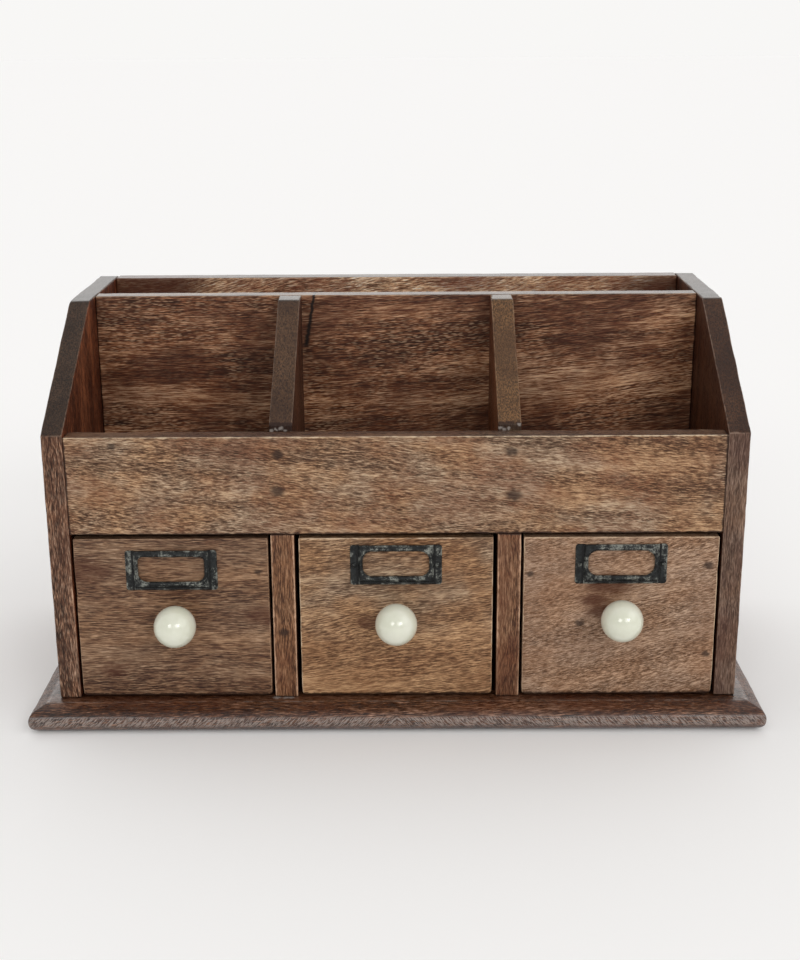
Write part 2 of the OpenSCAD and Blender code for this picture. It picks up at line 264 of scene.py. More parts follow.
def grain_colour(t, place, grain, look, tones):
    """Colour of the open-pored grain, and the fibres, pores and clouds that it is made of."""
    fibres = t.noise(grain, (150 / look.length, 1900, 1900), roughness=0.68)
    growth = t.noise(grain, (7, 85, 85), detail=5.0, roughness=0.66)
    cloud = t.noise(grain, (16, 30, 30), detail=5.0, roughness=0.66)
    tone = t.math("ADD", fibres, t.math("MULTIPLY", growth, look.bands))
    middle = (1.0 + look.bands) / 2
    tone = t.between(tone, middle - 0.24, middle + 0.24)
    stops = [(i / (len(tones) - 1), paint(code)) for i, code in enumerate(tones)]
    colour = t.ramp(tone, stops)

    patch = t.math("MULTIPLY", t.between(cloud, 0.42, 0.64), look.stain)
    colour = t.mix(patch, colour, paint(look.stain_tone))
    long_pores = t.dashes(grain, (150 / look.length, 1500, 1500), 0.22, 0.46)
    elsewhere = t.vector("ADD", grain, (0.31, 0.17, 0.11))
    short_pores = t.dashes(elsewhere, (330 / look.length, 2100, 2100), 0.20, 0.44)
    crowd = t.between(growth, 0.64, 0.42, 0.3, 1.0)
    pores = t.math("MAXIMUM", long_pores, t.math("MULTIPLY", short_pores, 0.8))
    pores = t.math("MULTIPLY", pores, crowd)
    colour = t.mix(t.math("MULTIPLY", pores, look.pore), colour, paint(tones[0]))

    hue = t.between(t.noise(place, (34, 34, 52)), 0.35, 0.65)
    if look.warm_below:
        height = t.part(place, "Z")
        near = t.between(height, look.warm_below - 15 * MM, look.warm_below + 15 * MM)
        hue = t.math("MULTIPLY", hue, near)
    hue = t.mix(hue, paint(look.warm), (0.98, 1.0, 1.02, 1))
    colour = t.mix(1.0, colour, hue, "MULTIPLY")
    if look.fleck:
        elsewhere = t.vector("ADD", grain, (0.13, 0.47, 0.29))
        flecks = t.dashes(elsewhere, (230, 1700, 1700), 0.16, 0.48)
        flecks = t.math("MULTIPLY", flecks, t.between(cloud, 0.60, 0.40, 0.15, 1.0))
        colour = t.mix(t.math("MULTIPLY", flecks, look.fleck), colour, paint(tones[-1]))
    return colour, fibres, pores, cloud


def tint_faces(t, colour, place, facing, cloud, look):
    """End grain, painted shade and reddish bounce light on the sides, a tint of the rear, and painted sheen
    and shade on the top.
    """
    # Painted shade: the X faces, or only the inward ones, are made darker and redder to stand for shade and
    # reddish bounce light.
    if look.face_tint:
        broadside = t.math("ABSOLUTE", facing["X"])
        if look.inward:
            broadside = t.math("MULTIPLY", facing["X"], look.inward)
        colour = t.mix(t.between(broadside, 0.5, 0.9), colour, paint(look.face_tint), "MULTIPLY")
    if look.end_tones:
        dark, light, blotch = (paint(code) for code in look.end_tones)
        speck = t.noise(place, (1500, 700, 700), roughness=0.65)
        ends = t.mix(t.between(speck, 0.34, 0.66), dark, light)
        ends = t.mix(t.math("MULTIPLY", t.between(cloud, 0.4, 0.65), 0.6), ends, blotch)
        across = t.math("ABSOLUTE", facing[look.axis])
        colour = t.mix(t.between(across, 0.35, 0.75, 0.0, 0.9), colour, ends)
    if look.rear_tint:
        colour = t.mix(t.between(facing["Y"], 0.4, 0.8), colour, paint(look.rear_tint), "MULTIPLY")
    # Painted top light: up-facing faces are tinted greyer or darker to stand for the sheen and shade on the
    # tops.
    if look.top_tint:
        colour = t.mix(t.between(facing["Z"], 0.75, 0.95), colour, paint(look.top_tint), "MULTIPLY")
    return colour


def weather(t, colour, place, look):
    """Ragged wear along the free edges, and dirt with painted shade where a board meets its neighbour."""
    ragged = t.between(t.noise(place, (300, 300, 300)), 0.3, 0.7, -0.25, 0.35)
    patchy = t.noise(place, (45, 45, 45), detail=2.0)
    rubbed = t.between(t.math("ADD", t.attribute("edge"), ragged), 0.15, look.rub, look.wear, 0.0)
    rubbed = t.math("MULTIPLY", rubbed, t.between(patchy, 0.36, 0.56, 0.25, 1.0))
    colour = t.mix(rubbed, colour, paint(look.worn))
    # Dirt and painted shade: darker near the sides where a board butts against its neighbour.
    dirt_and_shade = t.between(t.math("ADD", t.attribute("joint"), ragged), 0.35, 0.95, 0.0, 0.85)
    return t.mix(dirt_and_shade, colour, paint(DIRT_AND_SHADE_TONE))


def add_marks(t, colour, place, marks, stretch, strength, tone):
    """Soft uneven marks, each (x, y, z, reach). A stretch below 1 draws them out along X."""
    if not marks:
        return colour
    wobble = t.vector("ADD", place, t.shake(place, (420, 420, 420), 3 * MM))
    wobble = t.vector("MULTIPLY", wobble, (stretch, 1, 1))
    mark = 0.0
    for x, y, z, reach in marks:
        centre = (x * stretch, y, z)
        away = t.node("VectorMath", {0: wobble, 1: centre}, operation="DISTANCE").outputs["Value"]
        mark = t.math("MAXIMUM", t.between(away, reach * 0.3, reach, strength, 0.0), mark)
    return t.mix(mark, colour, paint(tone))


def add_crack(t, colour, place, crack):
    """A dark crack up a board that wanders a little and narrows upwards, between two ends as (x, z)."""
    (foot, bottom), (head, top) = crack
    slope = (head - foot) / (top - bottom)
    across, height = t.part(place, "X"), t.part(place, "Z")
    stray = 2.4 * MM
    centre = t.math("ADD", t.math("MULTIPLY", height, slope), foot - slope * bottom - stray / 2)
    centre = t.math("ADD", centre, t.math("MULTIPLY", t.noise(place, (0, 0, 330)), stray))
    away = t.math("ABSOLUTE", t.math("SUBTRACT", across, centre))
    width = t.between(height, bottom, top, 2.1 * MM, 1.2 * MM)
    gap = t.between(away, 0.3 * MM, width, 0.95, 0.0)
    gap = t.math("MULTIPLY", gap, t.between(height, bottom - 1 * MM, bottom + 3 * MM))
    return t.mix(gap, colour, paint(CRACK_TONE))


def plane_marks(t, colour, relief, place, facing, look):
    """Slanting plane marks on a moulded edge, with a broken painted grey sheen on them, mirrored about the
    middle.
    """
    mirrored = t.vector("ABSOLUTE", place, (0, 0, 0))
    slant = t.node("Mapping", {"Vector": mirrored, "Rotation": (0, math.radians(-46), 0)}).outputs[0]
    scored = t.noise(slant, (330, 110, 2100), detail=2.0)
    marks = t.math("MULTIPLY", scored, t.between(facing["Y"], -0.3, -0.8, 0.0, look.chatter))
    # Painted sheen: grey on the forward-facing nose along the plane marks, fading towards its foot.
    painted_sheen = t.math("MULTIPLY", t.between(scored, 0.43, 0.58), t.between(facing["Z"], 0.55, 0.25, 0.0, 0.75))
    painted_sheen = t.math("MULTIPLY", painted_sheen, t.between(t.part(place, "Z"), 2.6 * MM, 4.8 * MM, 0.1, 1.0))
    return t.mix(painted_sheen, colour, paint(look.worn)), t.math("ADD", relief, marks)


def wood(name, tones, seed, **changes):
    """Stained hardwood. tones run from the darkest fibre to the lightest, and changes are to PLAIN_WOOD."""
    look = SimpleNamespace(**{**PLAIN_WOOD, **changes})
    t = Shader(name)
    place = t.place()
    grain = grain_place(t, place, look, seed)
    colour, fibres, pores, cloud = grain_colour(t, place, grain, look, tones)
    facing = t.node("SeparateXYZ", {0: t.node("TexCoord", {}).outputs["Normal"]}).outputs
    colour = tint_faces(t, colour, place, facing, cloud, look)
    colour = weather(t, colour, place, look)
    colour = add_marks(t, colour, place, look.smudges, 0.5, look.smudge, SMUDGE_AND_SHADOW_TONE)
    colour = add_marks(t, colour, place, look.spots, 0.75, 0.8, SPOT_TONE)
    colour = add_marks(t, colour, place, look.residue, 0.7, 0.85, GLUE_TONE)
    if look.crack:
        colour = add_crack(t, colour, place, look.crack)
    relief = t.math("SUBTRACT", t.math("MULTIPLY", fibres, 0.6), t.math("MULTIPLY", pores, 0.7))
    if look.chatter:
        colour, relief = plane_marks(t, colour, relief, place, facing, look)
    roughness = t.math("ADD", fibres, pores)
    roughness = t.between(roughness, 0.3, 1.2, look.polish - 0.08, look.polish + 0.2)
    side_coat = t.between(facing["Z"], 0.3, 0.6, look.coat, 0.0)
    flat_coat = t.between(facing["Z"], 0.93, 0.99, 0.0, look.top_coat)
    t.principled({"Base Color": colour, "Roughness": roughness, "Normal": t.bump(relief, 0.00018, 0.7),
                  "Coat Weight": t.math("MAXIMUM", side_coat, flat_coat),
                  "Coat Roughness": look.coat_roughness, "Specular IOR Level": look.specular})
    return t.material


def patina(name):
    """Black aged metal, with painted shade in its hollows, and grey scuffs with painted highlights on its
    ridges.
    """
    t = Shader(name)
    place = t.place()
    fine = t.noise(place, 1300.0, 4.0, 0.68)
    coarse = t.noise(place, 330.0, 3.0, 0.6)
    region = t.between(t.noise(place, 110.0, 2.0), 0.40, 0.60, -0.06, 0.07)
    # Partly wear and partly painted highlight: lighter scuffs along the ridges and the window's bead.
    ridge_scuff_and_highlight = t.between(t.attribute("edge"), 0.0, 0.8, 0.07, 0.0)
    scuff_and_highlight = t.math("ADD", t.math("MULTIPLY", t.math("ADD", fine, coarse), 0.5), t.math("ADD", region, ridge_scuff_and_highlight))
    colour = t.mix(t.between(coarse, 0.36, 0.62), paint("#0a0b0c"), paint("#1f2222"))
    colour = t.mix(t.between(scuff_and_highlight, 0.53, 0.72), colour, paint("#8a8c84"))
    # Painted shade: near black in the hollows at the pocket's steps and groove.
    shaded_hollow = t.math("ADD", t.attribute("joint"), t.between(fine, 0.3, 0.7, -0.2, 0.2))
    colour = t.mix(t.between(shaded_hollow, 0.3, 0.8), colour, paint("#050505"))
    roughness = t.between(fine, 0.3, 0.7, 0.28, 0.55)
    t.principled({"Base Color": colour, "Metallic": 0.15, "Roughness": roughness, "Specular IOR Level": 0.35,
                  "Normal": t.bump(t.math("ADD", fine, coarse), 0.0006, 0.8)})
    return t.material


def glaze(name):
    """Cream glaze with a faint mottling."""
    t = Shader(name)
    cloud = t.noise(t.place(), 90.0)
    colour = t.mix(t.between(cloud, 0.3, 0.7), paint("#d9dbc7"), paint("#e1e2d2"))
    roughness = t.between(t.noise(t.place(), 400.0), 0.3, 0.7, 0.16, 0.24)
    t.principled({"Base Color": colour, "Roughness": roughness, "Coat Weight": 1.0, "Coat Roughness": 0.03,
                  "Normal": t.bump(cloud, 0.0002, 0.2)})
    return t.material


def steel(name, tone, stained_tone):
    """Dull steel with a drawn texture and stains."""
    t = Shader(name)
    fine = t.noise(t.place(), 1400.0)
    colour = t.mix(t.between(fine, 0.35, 0.7), paint(tone), paint(stained_tone))
    t.principled({"Base Color": colour, "Metallic": 0.8, "Roughness": t.between(fine, 0.3, 0.7, 0.35, 0.6),
                  "Normal": t.bump(fine, 0.0001, 0.5)})
    return t.material


# ---- mesh helpers ------------------------------


def ripple(points, size, seed):
    """Smooth noise from -1 to 1 at each point, with bumps about size apart."""
    random = np.random.default_rng(seed)
    total = np.zeros(len(points))
    for _ in range(9):
        direction = random.normal(size=3)
        direction *= random.uniform(0.6, 1.6) / np.linalg.norm(direction)
        total += np.sin(points @ direction * (2 * math.pi / size) + random.uniform(0, 2 * math.pi))
    return np.tanh(total / 2.6)


def make_piece(name, points, faces, material, **attributes):
    """A smooth-shaded mesh object. Its attributes are edge, each point's distance from the nearest worn
    edge in mm, and joint, which goes from 0 to 1 where the board meets its neighbour, carrying dirt and
    painted shade."""
    mesh = bpy.data.meshes.new(name)
    mesh.from_pydata([tuple(p) for p in points], [], faces)
    mesh.shade_smooth()
    for key, values in attributes.items():
        mesh.attributes.new(key, "FLOAT", "POINT").data.foreach_set("value", np.asarray(values, np.float32))
    mesh.materials.append(material)
    piece = bpy.data.objects.new(name, mesh)
    bpy.context.scene.collection.objects.link(piece)
    return piece


def attach(piece, body, node):
    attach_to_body(piece, body)
    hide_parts(node)


def positions(low, high, step, fine):
    """Grid positions from low to high: step apart, and close together near both ends."""
    near = np.array([0, 0.3, 0.7, 1.2, 1.9, 3.0]) * fine
    count = max(2, round((high - low - 2 * near[-1]) / step) + 1)
    inner = np.linspace(low + near[-1], high - near[-1], count)
    return np.concatenate([low + near[:-1], inner, (high - near[:-1])[::-1]])


def grid_box(nx, ny, nz):
    """Quads of a closed box made of grid faces, and the three grid indices of each vertex."""
    seen = {}

    def v(i, j, k):
        return seen.setdefault((i, j, k), len(seen))

    quads = []
    for i in range(nx - 1):
        for j in range(ny - 1):
            quads.append((v(i, j, 0), v(i, j + 1, 0), v(i + 1, j + 1, 0), v(i + 1, j, 0)))
            k = nz - 1
            quads.append((v(i, j, k), v(i + 1, j, k), v(i + 1, j + 1, k), v(i, j + 1, k)))
    for i in range(nx - 1):
        for k in range(nz - 1):
            quads.append((v(i, 0, k), v(i + 1, 0, k), v(i + 1, 0, k + 1), v(i, 0, k + 1)))
            j = ny - 1
            quads.append((v(i, j, k), v(i, j, k + 1), v(i + 1, j, k + 1), v(i + 1, j, k)))
    for j in range(ny - 1):
        for k in range(nz - 1):
            quads.append((v(0, j, k), v(0, j, k + 1), v(0, j + 1, k + 1), v(0, j + 1, k)))
            i = nx - 1
            quads.append((v(i, j, k), v(i, j + 1, k), v(i, j + 1, k + 1), v(i, j, k + 1)))
    return quads, np.array(list(seen))


def fillet(before, corner, after, radius):
    """Points of the arc that rounds a corner of an outline in the Y-Z plane."""
    steps = 8
    b = np.array(corner)
    u, w = ((np.array(p) - b) / np.linalg.norm(np.array(p) - b) for p in (before, after))
    half = math.acos(u @ w) / 2
    centre = b + (u + w) / np.linalg.norm(u + w) * radius / math.sin(half)
    start, end = (b + d * radius / math.tan(half) - centre for d in (u, w))
    first = math.atan2(start[1], start[0])
    turn = math.atan2(start[0] * end[1] - start[1] * end[0], start @ end)
    angles = [first + turn * i / steps for i in range(steps + 1)]
    return [centre + radius * np.array([math.cos(a), math.sin(a)]) for a in angles]


def soften(points, planes, radius):
    """Rounds the edges of the convex solid inside planes, by radius at each point. Gives normals too."""
    inner = points.copy()
    for _ in range(5):
        for normal, limit in planes:
            over = np.maximum(inner @ normal - (limit - radius), 0)
            inner -= over[:, None] * normal
    away = points - inner
    normals = away / np.maximum(np.linalg.norm(away, axis=1), 1e-9)[:, None]
    return inner + normals * radius[:, None], normals


UNEVEN = 0.1 * MM


def board(name, body, material, radius=0.7, upper=None, step=3.0, seed=1, shape=None,
          joined="", shade_and_dirt_width=1.2):
    """A board in the place of the CAD node of that name, with uneven rounded edges and a worked surface.
    upper is its top outline as (y, z) points from front to back, and shape changes the edges' radius.
    joined lists the sides that butt against a neighbour: they take dirt and painted shade, grimy mm wide,
    instead of wear."""
    low, high = (np.array(c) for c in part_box(name))
    upper = np.array(upper or [(low[1], high[2]), (high[1], high[2])])
    xs = positions(low[0], high[0], step * MM, MM)
    ys = np.unique(np.concatenate([positions(low[1], high[1], step * MM, MM), upper[1:-1, 0]]))
    ts = positions(low[2], high[2], step * MM, MM)
    ts = (ts - low[2]) / (high[2] - low[2])
    quads, index = grid_box(len(xs), len(ys), len(ts))
    y = ys[index[:, 1]]
    top = np.interp(y, upper[:, 0], upper[:, 1])
    points = np.column_stack([xs[index[:, 0]], y, low[2] + ts[index[:, 2]] * (top - low[2])])

    sides = [((-1, 0, 0), -low[0]), ((1, 0, 0), high[0]), ((0, -1, 0), -low[1]), ((0, 1, 0), high[1]),
             ((0, 0, -1), -low[2])]
    sides = [(np.array(n, float), limit) for n, limit in sides]
    tops = []
    for (y0, z0), (y1, z1) in zip(upper[:-1], upper[1:]):
        normal = np.array([0, z0 - z1, y1 - y0]) / math.hypot(z0 - z1, y1 - y0)
        tops.append((normal, normal @ np.array([0, y0, z0])))
    ways = ("-x", "+x", "-y", "+y", "-z")
    depths = [(way, limit - points @ normal) for way, (normal, limit) in zip(ways, sides)]
    depths.append(("+z", np.min([limit - points @ normal for normal, limit in tops], axis=0)))
    butted = [depth for way, depth in depths if way in joined.split()]
    free = [depth for way, depth in depths if way not in joined.split()]
    # Dirt and painted shade: a dark band along the butted sides.
    joint = np.clip(shade_and_dirt_width - np.min(butted, axis=0) / MM, 0, 1) if butted else np.zeros(len(points))
    edge = np.partition(np.array(free), 1, axis=0)[1] / MM

    worn = 1 + 0.35 * ripple(points, 9 * MM, seed) + 0.35 * ripple(points, 31 * MM, seed + 1)
    chips = np.maximum(ripple(points, 17 * MM, seed + 2) - 0.86, 0) * 9
    radii = radius * MM * (np.clip(worn, 0.4, 2) + chips)
    if shape:
        radii = shape(points, radii)
    points, normals = soften(points, sides + tops, radii)
    dip = 0.5 + 0.5 * ripple(points, 26 * MM, seed + 3)
    points -= normals * (dip * UNEVEN)[:, None]
    piece = make_piece(name + ".wood", points, quads, material, edge=edge, joint=joint)
    attach(piece, body, name)


def turned(profile, centre, out, segments, first):
    """Points and faces of a profile of (radius, distance along out), turned about out through centre.
    first is the number of the first point."""
    out = np.array(out, float)
    side = np.cross(out, (0, 0, 1) if abs(out[2]) < 0.5 else (1, 0, 0))
    up = np.cross(side, out)
    points, faces = [], []
    for radius, distance in profile:
        for s in range(segments):
            a = 2 * math.pi * s / segments
            spoke = side * math.cos(a) + up * math.sin(a)
            points.append(np.array(centre) + out * distance + radius * spoke)
    for row in range(len(profile) - 1):
        for s in range(segments):
            a, b = first + row * segments + s, first + row * segments + (s + 1) % segments
            faces.append((a, b, b + segments, a + segments))
    return points, faces


def lathe(name, profile, places, material, segments=64):
    """One piece with a turned copy of the profile at each of places, which are (centre, out)."""
    points, faces = [], []
    for centre, out in places:
        more = turned(profile, centre, out, segments, len(points))
        points += more[0]
        faces += more[1]
    piece = make_piece(name, points, faces, material)
    tidy_mesh(piece)
    return piece


def tidy_mesh(piece):
    """Joins points that coincide, drops loose ones and turns every face outwards."""
    work = bmesh.new()
    work.from_mesh(piece.data)
    bmesh.ops.remove_doubles(work, verts=work.verts, dist=1e-6)
    bmesh.ops.delete(work, geom=[v for v in work.verts if not v.link_faces], context="VERTS")
    bmesh.ops.recalc_face_normals(work, faces=work.faces)
    work.to_mesh(piece.data)
    work.free()
    piece.data.shade_smooth()


def islands(node):
    """Centre and half size of each separate solid of a CAD node."""
    work = bmesh.new()
    work.from_mesh(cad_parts[node].data)
    bmesh.ops.remove_doubles(work, verts=work.verts, dist=1e-6)
    waiting, boxes = set(work.verts), []
    while waiting:
        stack, group = [waiting.pop()], []
        while stack:
            vertex = stack.pop()
            group.append(tuple(vertex.co))
            for near in (e.other_vert(vertex) for e in vertex.link_edges):
                if near in waiting:
                    waiting.remove(near)
                    stack.append(near)
        low, high = np.min(group, axis=0), np.max(group, axis=0)
        boxes.append((tuple((low + high) / 2), tuple((high - low) / 2)))
    work.free()
    return sorted(boxes)


# ---- the wood of each board --------------------

BACK_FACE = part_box("back_panel")[0].y
RAIL_BACK, RAIL_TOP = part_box("front_rail")[1].y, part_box("front_rail")[1].z
BASE_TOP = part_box("base_board")[1].z
FILLED_HOLE = 2.2 * MM


def on_face(y, *marks):
    """Marks on the face of a board at that y, given as (x, z, reach) in mm."""
    return tuple((x * MM, y, z * MM, reach * MM) for x, z, reach in marks)


def glue_flecks(y, z, *flecks):
    """Dried glue at the foot of a board. Each fleck is (x, lift above z, reach) in mm."""
    return tuple((x * MM, y, z + lift * MM, reach * MM) for x, lift, reach in flecks)


def filled_holes(node, axis, sign):
    """Marks over sunk brads: the outer ends of the solids of a CAD node."""
    marks = []
    for centre, half in islands(node):
        mark = list(centre)
        mark[axis] += sign * half[axis]
        marks.append((*mark, FILLED_HOLE))
    return marks


WOODS = {}


def add_wood(board_name, tones, seed, **changes):
    WOODS[board_name] = wood(board_name + "_wood", tones.split(), seed, **changes)


# The top tints below are painted sheen and shade on the tops; the face tints are painted shade on the inner
# faces.
add_wood("rail", "#392517 #674c39 #8f7259 #ae9378 #ccb396", 1, tilt=-5, length=0.75, pore=0.9, bands=0.5,
         warm="#ffeedb", stain=0.45, stain_tone="#7c4e36", wear=0.75, worn="#d9c3a4",
         top_tint="#a59488", top_coat=0.4,
         spots=on_face(FRONT, (-58.8, 146.7, 3.2), (-59.7, 127.5, 4.2), (58.5, 147.8, 3.4),
                       (59.8, 124.8, 4.4), (-142, 151.5, 2.5)))
add_wood("divider", "#2d1a0f #553220 #7c4e33 #aa7c5c #e5bc97", 2, sweep=0.17, waves=0.7, pore=0.7, fleck=0.5,
         bands=0.7, length=1.6, stain=0.55, stain_tone="#512716", wear=0.35, top_tint="#c4ccbc",
         crack=((-50.3 * MM, 180 * MM), (-45.2 * MM, 210 * MM)))
add_wood("back", "#402a1c #90664c #cba281 #ffdfb6 #fffff8", 3, tilt=9, waves=1.4, stain=0.7,
         stain_tone="#723c2b", wear=0.25, top_tint="#6a645a", rear_tint="#a08a80",
         spots=filled_holes("back_brads", 1, 1), smudge=0.9,
         smudges=on_face(BACK_FACE, (-145, 205, 26), (160, 200, 20)))
add_wood("side_left", "#190f09 #452d1e #664534 #99745b #d4b399", 4, axis="Z", fleck=0.3, stain=0.5,
         stain_tone="#492615", wear=0.3, worn="#9a8270", end_tones=("#140c06", "#4a3325", "#1d1008"),
         face_tint="#e0a888", inward=1, top_tint="#c4ccbc", top_coat=0.7,
         spots=filled_holes("side_brads_left", 0, -1))
add_wood("side_right", "#36251e #543e30 #6b5344 #826959 #9a8272", 5, axis="Z", fleck=0.3, stain=0.5,
         stain_tone="#4e2f27", wear=0.35, worn="#a8907e", end_tones=("#231006", "#5a341d", "#261006"),
         face_tint="#b4886c", inward=-1, top_tint="#c4ccbc", top_coat=0.7,
         spots=filled_holes("side_brads_right", 0, 1))
add_wood("upper_left", "#241a14 #42332a #58463a #6d5a4b #84705f", 6, axis="Z", stain=0.4,
         stain_tone="#3a2318", wear=0.3, worn="#8e7a68", end_tones=("#2c1a0e", "#6c4c34", "#2f170a"),
         face_tint="#e0a888", top_tint="#c4ccbc",
         residue=glue_flecks(RAIL_BACK, RAIL_TOP, (-62.8, 0.3, 1.2), (-60.4, 1.0, 1.0), (-58.0, 1.6, 1.3),
                             (-55.7, 0.7, 1.0)))
add_wood("upper_right", "#2b1d12 #54402d #6d553d #836a50 #9b8165", 7, axis="Z", stain=0.35,
         stain_tone="#5b3a20", wear=0.3, worn="#a88b6a", end_tones=("#3b2513", "#875f3c", "#452a17"),
         face_tint="#e0a888", top_tint="#c4ccbc",
         residue=glue_flecks(RAIL_BACK, RAIL_TOP, (53.0, 1.4, 1.4), (55.1, 0.5, 1.1), (57.4, 1.2, 0.9),
                             (62.6, 3.4, 1.1)))
add_wood("partition", "#2f1b11 #573824 #775238 #906b4e #ae8668", 8, axis="Z", stain=0.5,
         stain_tone="#5d311e", wear=1.0, worn="#c9a284", rub=1.2, spots=on_face(FRONT, (-58.5, 50.7, 3.2)))
add_wood("deck", "#24150d #452a1b #5b3b29 #6f4f3b #8b6c55", 9, wear=0.2)
# The base's worn colour also paints the grey sheen on its nose.
add_wood("base", "#150905 #331909 #4e2c17 #714c34 #ab856f", 10, tilt=4, bands=0.35, stain=0.5,
         stain_tone="#4d2515", wear=0.35, worn="#9b8c83", polish=0.34, coat=0.9, top_coat=0.7,
         coat_roughness=0.14, specular=0.45, chatter=3.0,
         residue=glue_flecks(FRONT - 0.6 * MM, BASE_TOP, (-63, 0, 2.3), (-58, 0, 2.2), (-55.6, 0, 1.7)))
add_wood("left_front", "#331f17 #5e402e #7c5e47 #94755a #b6977b", 11, length=1.3, pore=1.0, waves=0.8,
         stain=0.35, stain_tone="#644532", wear=0.6, worn="#a98a70", spots=on_face(FRONT, (-70.8, 84.1, 2.4)),
         smudges=on_face(FRONT, (-160, 85, 10), (-68, 60, 7), (-148, 30, 6)))
add_wood("middle_front", "#4a3425 #7b604b #9e8267 #b79b7d #d5ba9b", 12, tilt=7, pore=0.9, warm="#ffecd6",
         warm_below=55 * MM, stain=0.35, stain_tone="#8b6749", wear=0.9, worn="#cfb597",
         smudges=on_face(FRONT, (-15, 56, 5)))
# The smudge at (106.8, 62) just left of the knob is the knob's painted shadow; the other smudges are stains.
add_wood("right_front", "#4c3426 #7d5e45 #987a63 #b0927a #cead92", 13, tilt=14, length=0.55, bands=0.3,
         waves=1.4, stain=0.35, stain_tone="#7f5940", wear=0.85, worn="#cdb294", smudge=0.8,
         spots=on_face(FRONT, (95, 55.5, 2.8), (68.7, 82.5, 2.4), (160, 86.7, 2.8), (161.3, 37.9, 2.4)),
         smudges=on_face(FRONT, (106.8, 62, 6.2), (109, 76.5, 9), (102, 68, 6)))

BARE = {"wear": 0.0, "top_coat": 0.0}
BOX_TONES = "#5b3f2b #7d5d43 #95734f #a88662 #bf9f7b"
add_wood("drawer_box", BOX_TONES, 14, stain=0.2, polish=0.65, **BARE)
add_wood("drawer_side", BOX_TONES, 16, axis="Y", stain=0.2, polish=0.65, **BARE)
add_wood("drawer_bottom", "#8a6a4a #a38460 #b4946d #c3a47d #d3b892", 15, stain=0.1, polish=0.7, **BARE)

PATINA = patina("aged_metal")
GLAZE = glaze("cream_glaze")
BRAD = steel("darkened_steel", "#2a211b", "#120d0a")
SCREW = steel("zinc_plate", "#a9a9a2", "#7e7d76")

# ---- carcass -----------------------------------

SLOPE_FILLET = 5 * MM
BACK_FILLET = 3 * MM
# Depth of the level tops behind the slope, and the heights above the rail at which the slopes start
LEVEL_DEPTH = 88 * MM
SIDE_START, DIVIDER_START = 1 * MM, 3.5 * MM


def sloped_top(node, lowest, back_radius):
    """Top outline of a board that slopes up from its front at height lowest, then runs flat."""
    low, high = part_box(node)
    shoulder = (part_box("side_panel_left")[1].y - LEVEL_DEPTH, high.z)
    front, back = (low.y, lowest), (high.y, high.z)
    outline = [front, *fillet(front, shoulder, back, SLOPE_FILLET)]
    if back_radius:
        outline += fillet(shoulder, back, (high.y, low.z), back_radius)
    else:
        outline.append(back)
    return outline


def make_carcass():
    for side in ("left", "right"):
        node = "side_panel_" + side
        board(node, "carcass", WOODS["side_" + side], seed=20 + len(side),
              upper=sloped_top(node, RAIL_TOP + SIDE_START, BACK_FILLET), joined="-z")
        node = "upper_divider_" + side
        # The dark band at each upper divider's foot behind the rail is dirt with painted shade.
        board(node, "carcass", WOODS["upper_" + side], seed=30 + len(side),
              upper=sloped_top(node, RAIL_TOP + DIVIDER_START, 0), joined="-y", shade_and_dirt_width=1.8)
        board("partition_" + side, "carcass", WOODS["partition"], seed=40 + len(side),
              joined="+y -z +z")
    board("front_rail", "carcass", WOODS["rail"], seed=50, joined="-x +x -z", shade_and_dirt_width=1.4)
    board("letter_divider", "carcass", WOODS["divider"], seed=60, joined="-x +x -z")
    board("back_panel", "carcass", WOODS["back"], seed=70, joined="-x +x -z")
    board("drawer_deck", "carcass", WOODS["deck"], seed=80, radius=0.3)


NOSE_RADIUS = 6.2 * MM
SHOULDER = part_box("side_panel_left")[0].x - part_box("base_board")[0].x - 5.3 * MM
BASE_CORNER = 1 * MM


def base_profile(height):
    """Moulded edge as (distance from the outer edge, z): under the nose, round it and up the bevel."""
    centre, shoulder = np.array([NOSE_RADIUS, NOSE_RADIUS]), np.array([SHOULDER, height])
    reach = shoulder - centre
    last = math.atan2(reach[1], reach[0]) + math.acos(NOSE_RADIUS / np.linalg.norm(reach))
    first = math.radians(270)
    steps = 18
    profile = [(NOSE_RADIUS + 4 * MM, 0.0)]
    for i in range(steps + 1):
        a = first + (last - first) * i / steps
        profile.append(tuple(centre + NOSE_RADIUS * np.array([math.cos(a), math.sin(a)])))
    tangent = np.array(profile[-1])
    for share in (0.33, 0.66, 0.86):
        profile.append(tuple(tangent * (1 - share) + shoulder * share))
    profile.append((SHOULDER + 0.25 * MM, height - 0.12 * MM))
    profile.append((SHOULDER + 0.9 * MM, height))
    profile.append((SHOULDER + 4 * MM, height))
    return profile


def base_loop(low, high, inset, z):
    """One level of the base's outline, the same number of points at every inset."""
    x0, x1, y0, y1 = low.x + inset, high.x - inset, low.y + inset, high.y
    r = max(BASE_CORNER - inset, 0.4 * MM)
    loop = []
    for centre_x, first in ((x0 + r, 180), (x1 - r, 270)):
        arc = [math.radians(first + 90 * i / 6) for i in range(7)]
        corner = [(centre_x + r * math.cos(a), y0 + r + r * math.sin(a), z) for a in arc]
        if loop:
            start, end = np.array(loop[-1]), np.array(corner[0])
            loop += [tuple(start + (end - start) * i / 150) for i in range(1, 150)]
        loop += corner
    for far, count in (((x1, y1, z), 70), ((x0, y1, z), 60), ((x0, y0 + r, z), 70)):
        start, end = np.array(loop[-1]), np.array(far)
        loop += [tuple(start + (end - start) * i / count) for i in range(1, count + 1)]
    return loop[:-1]


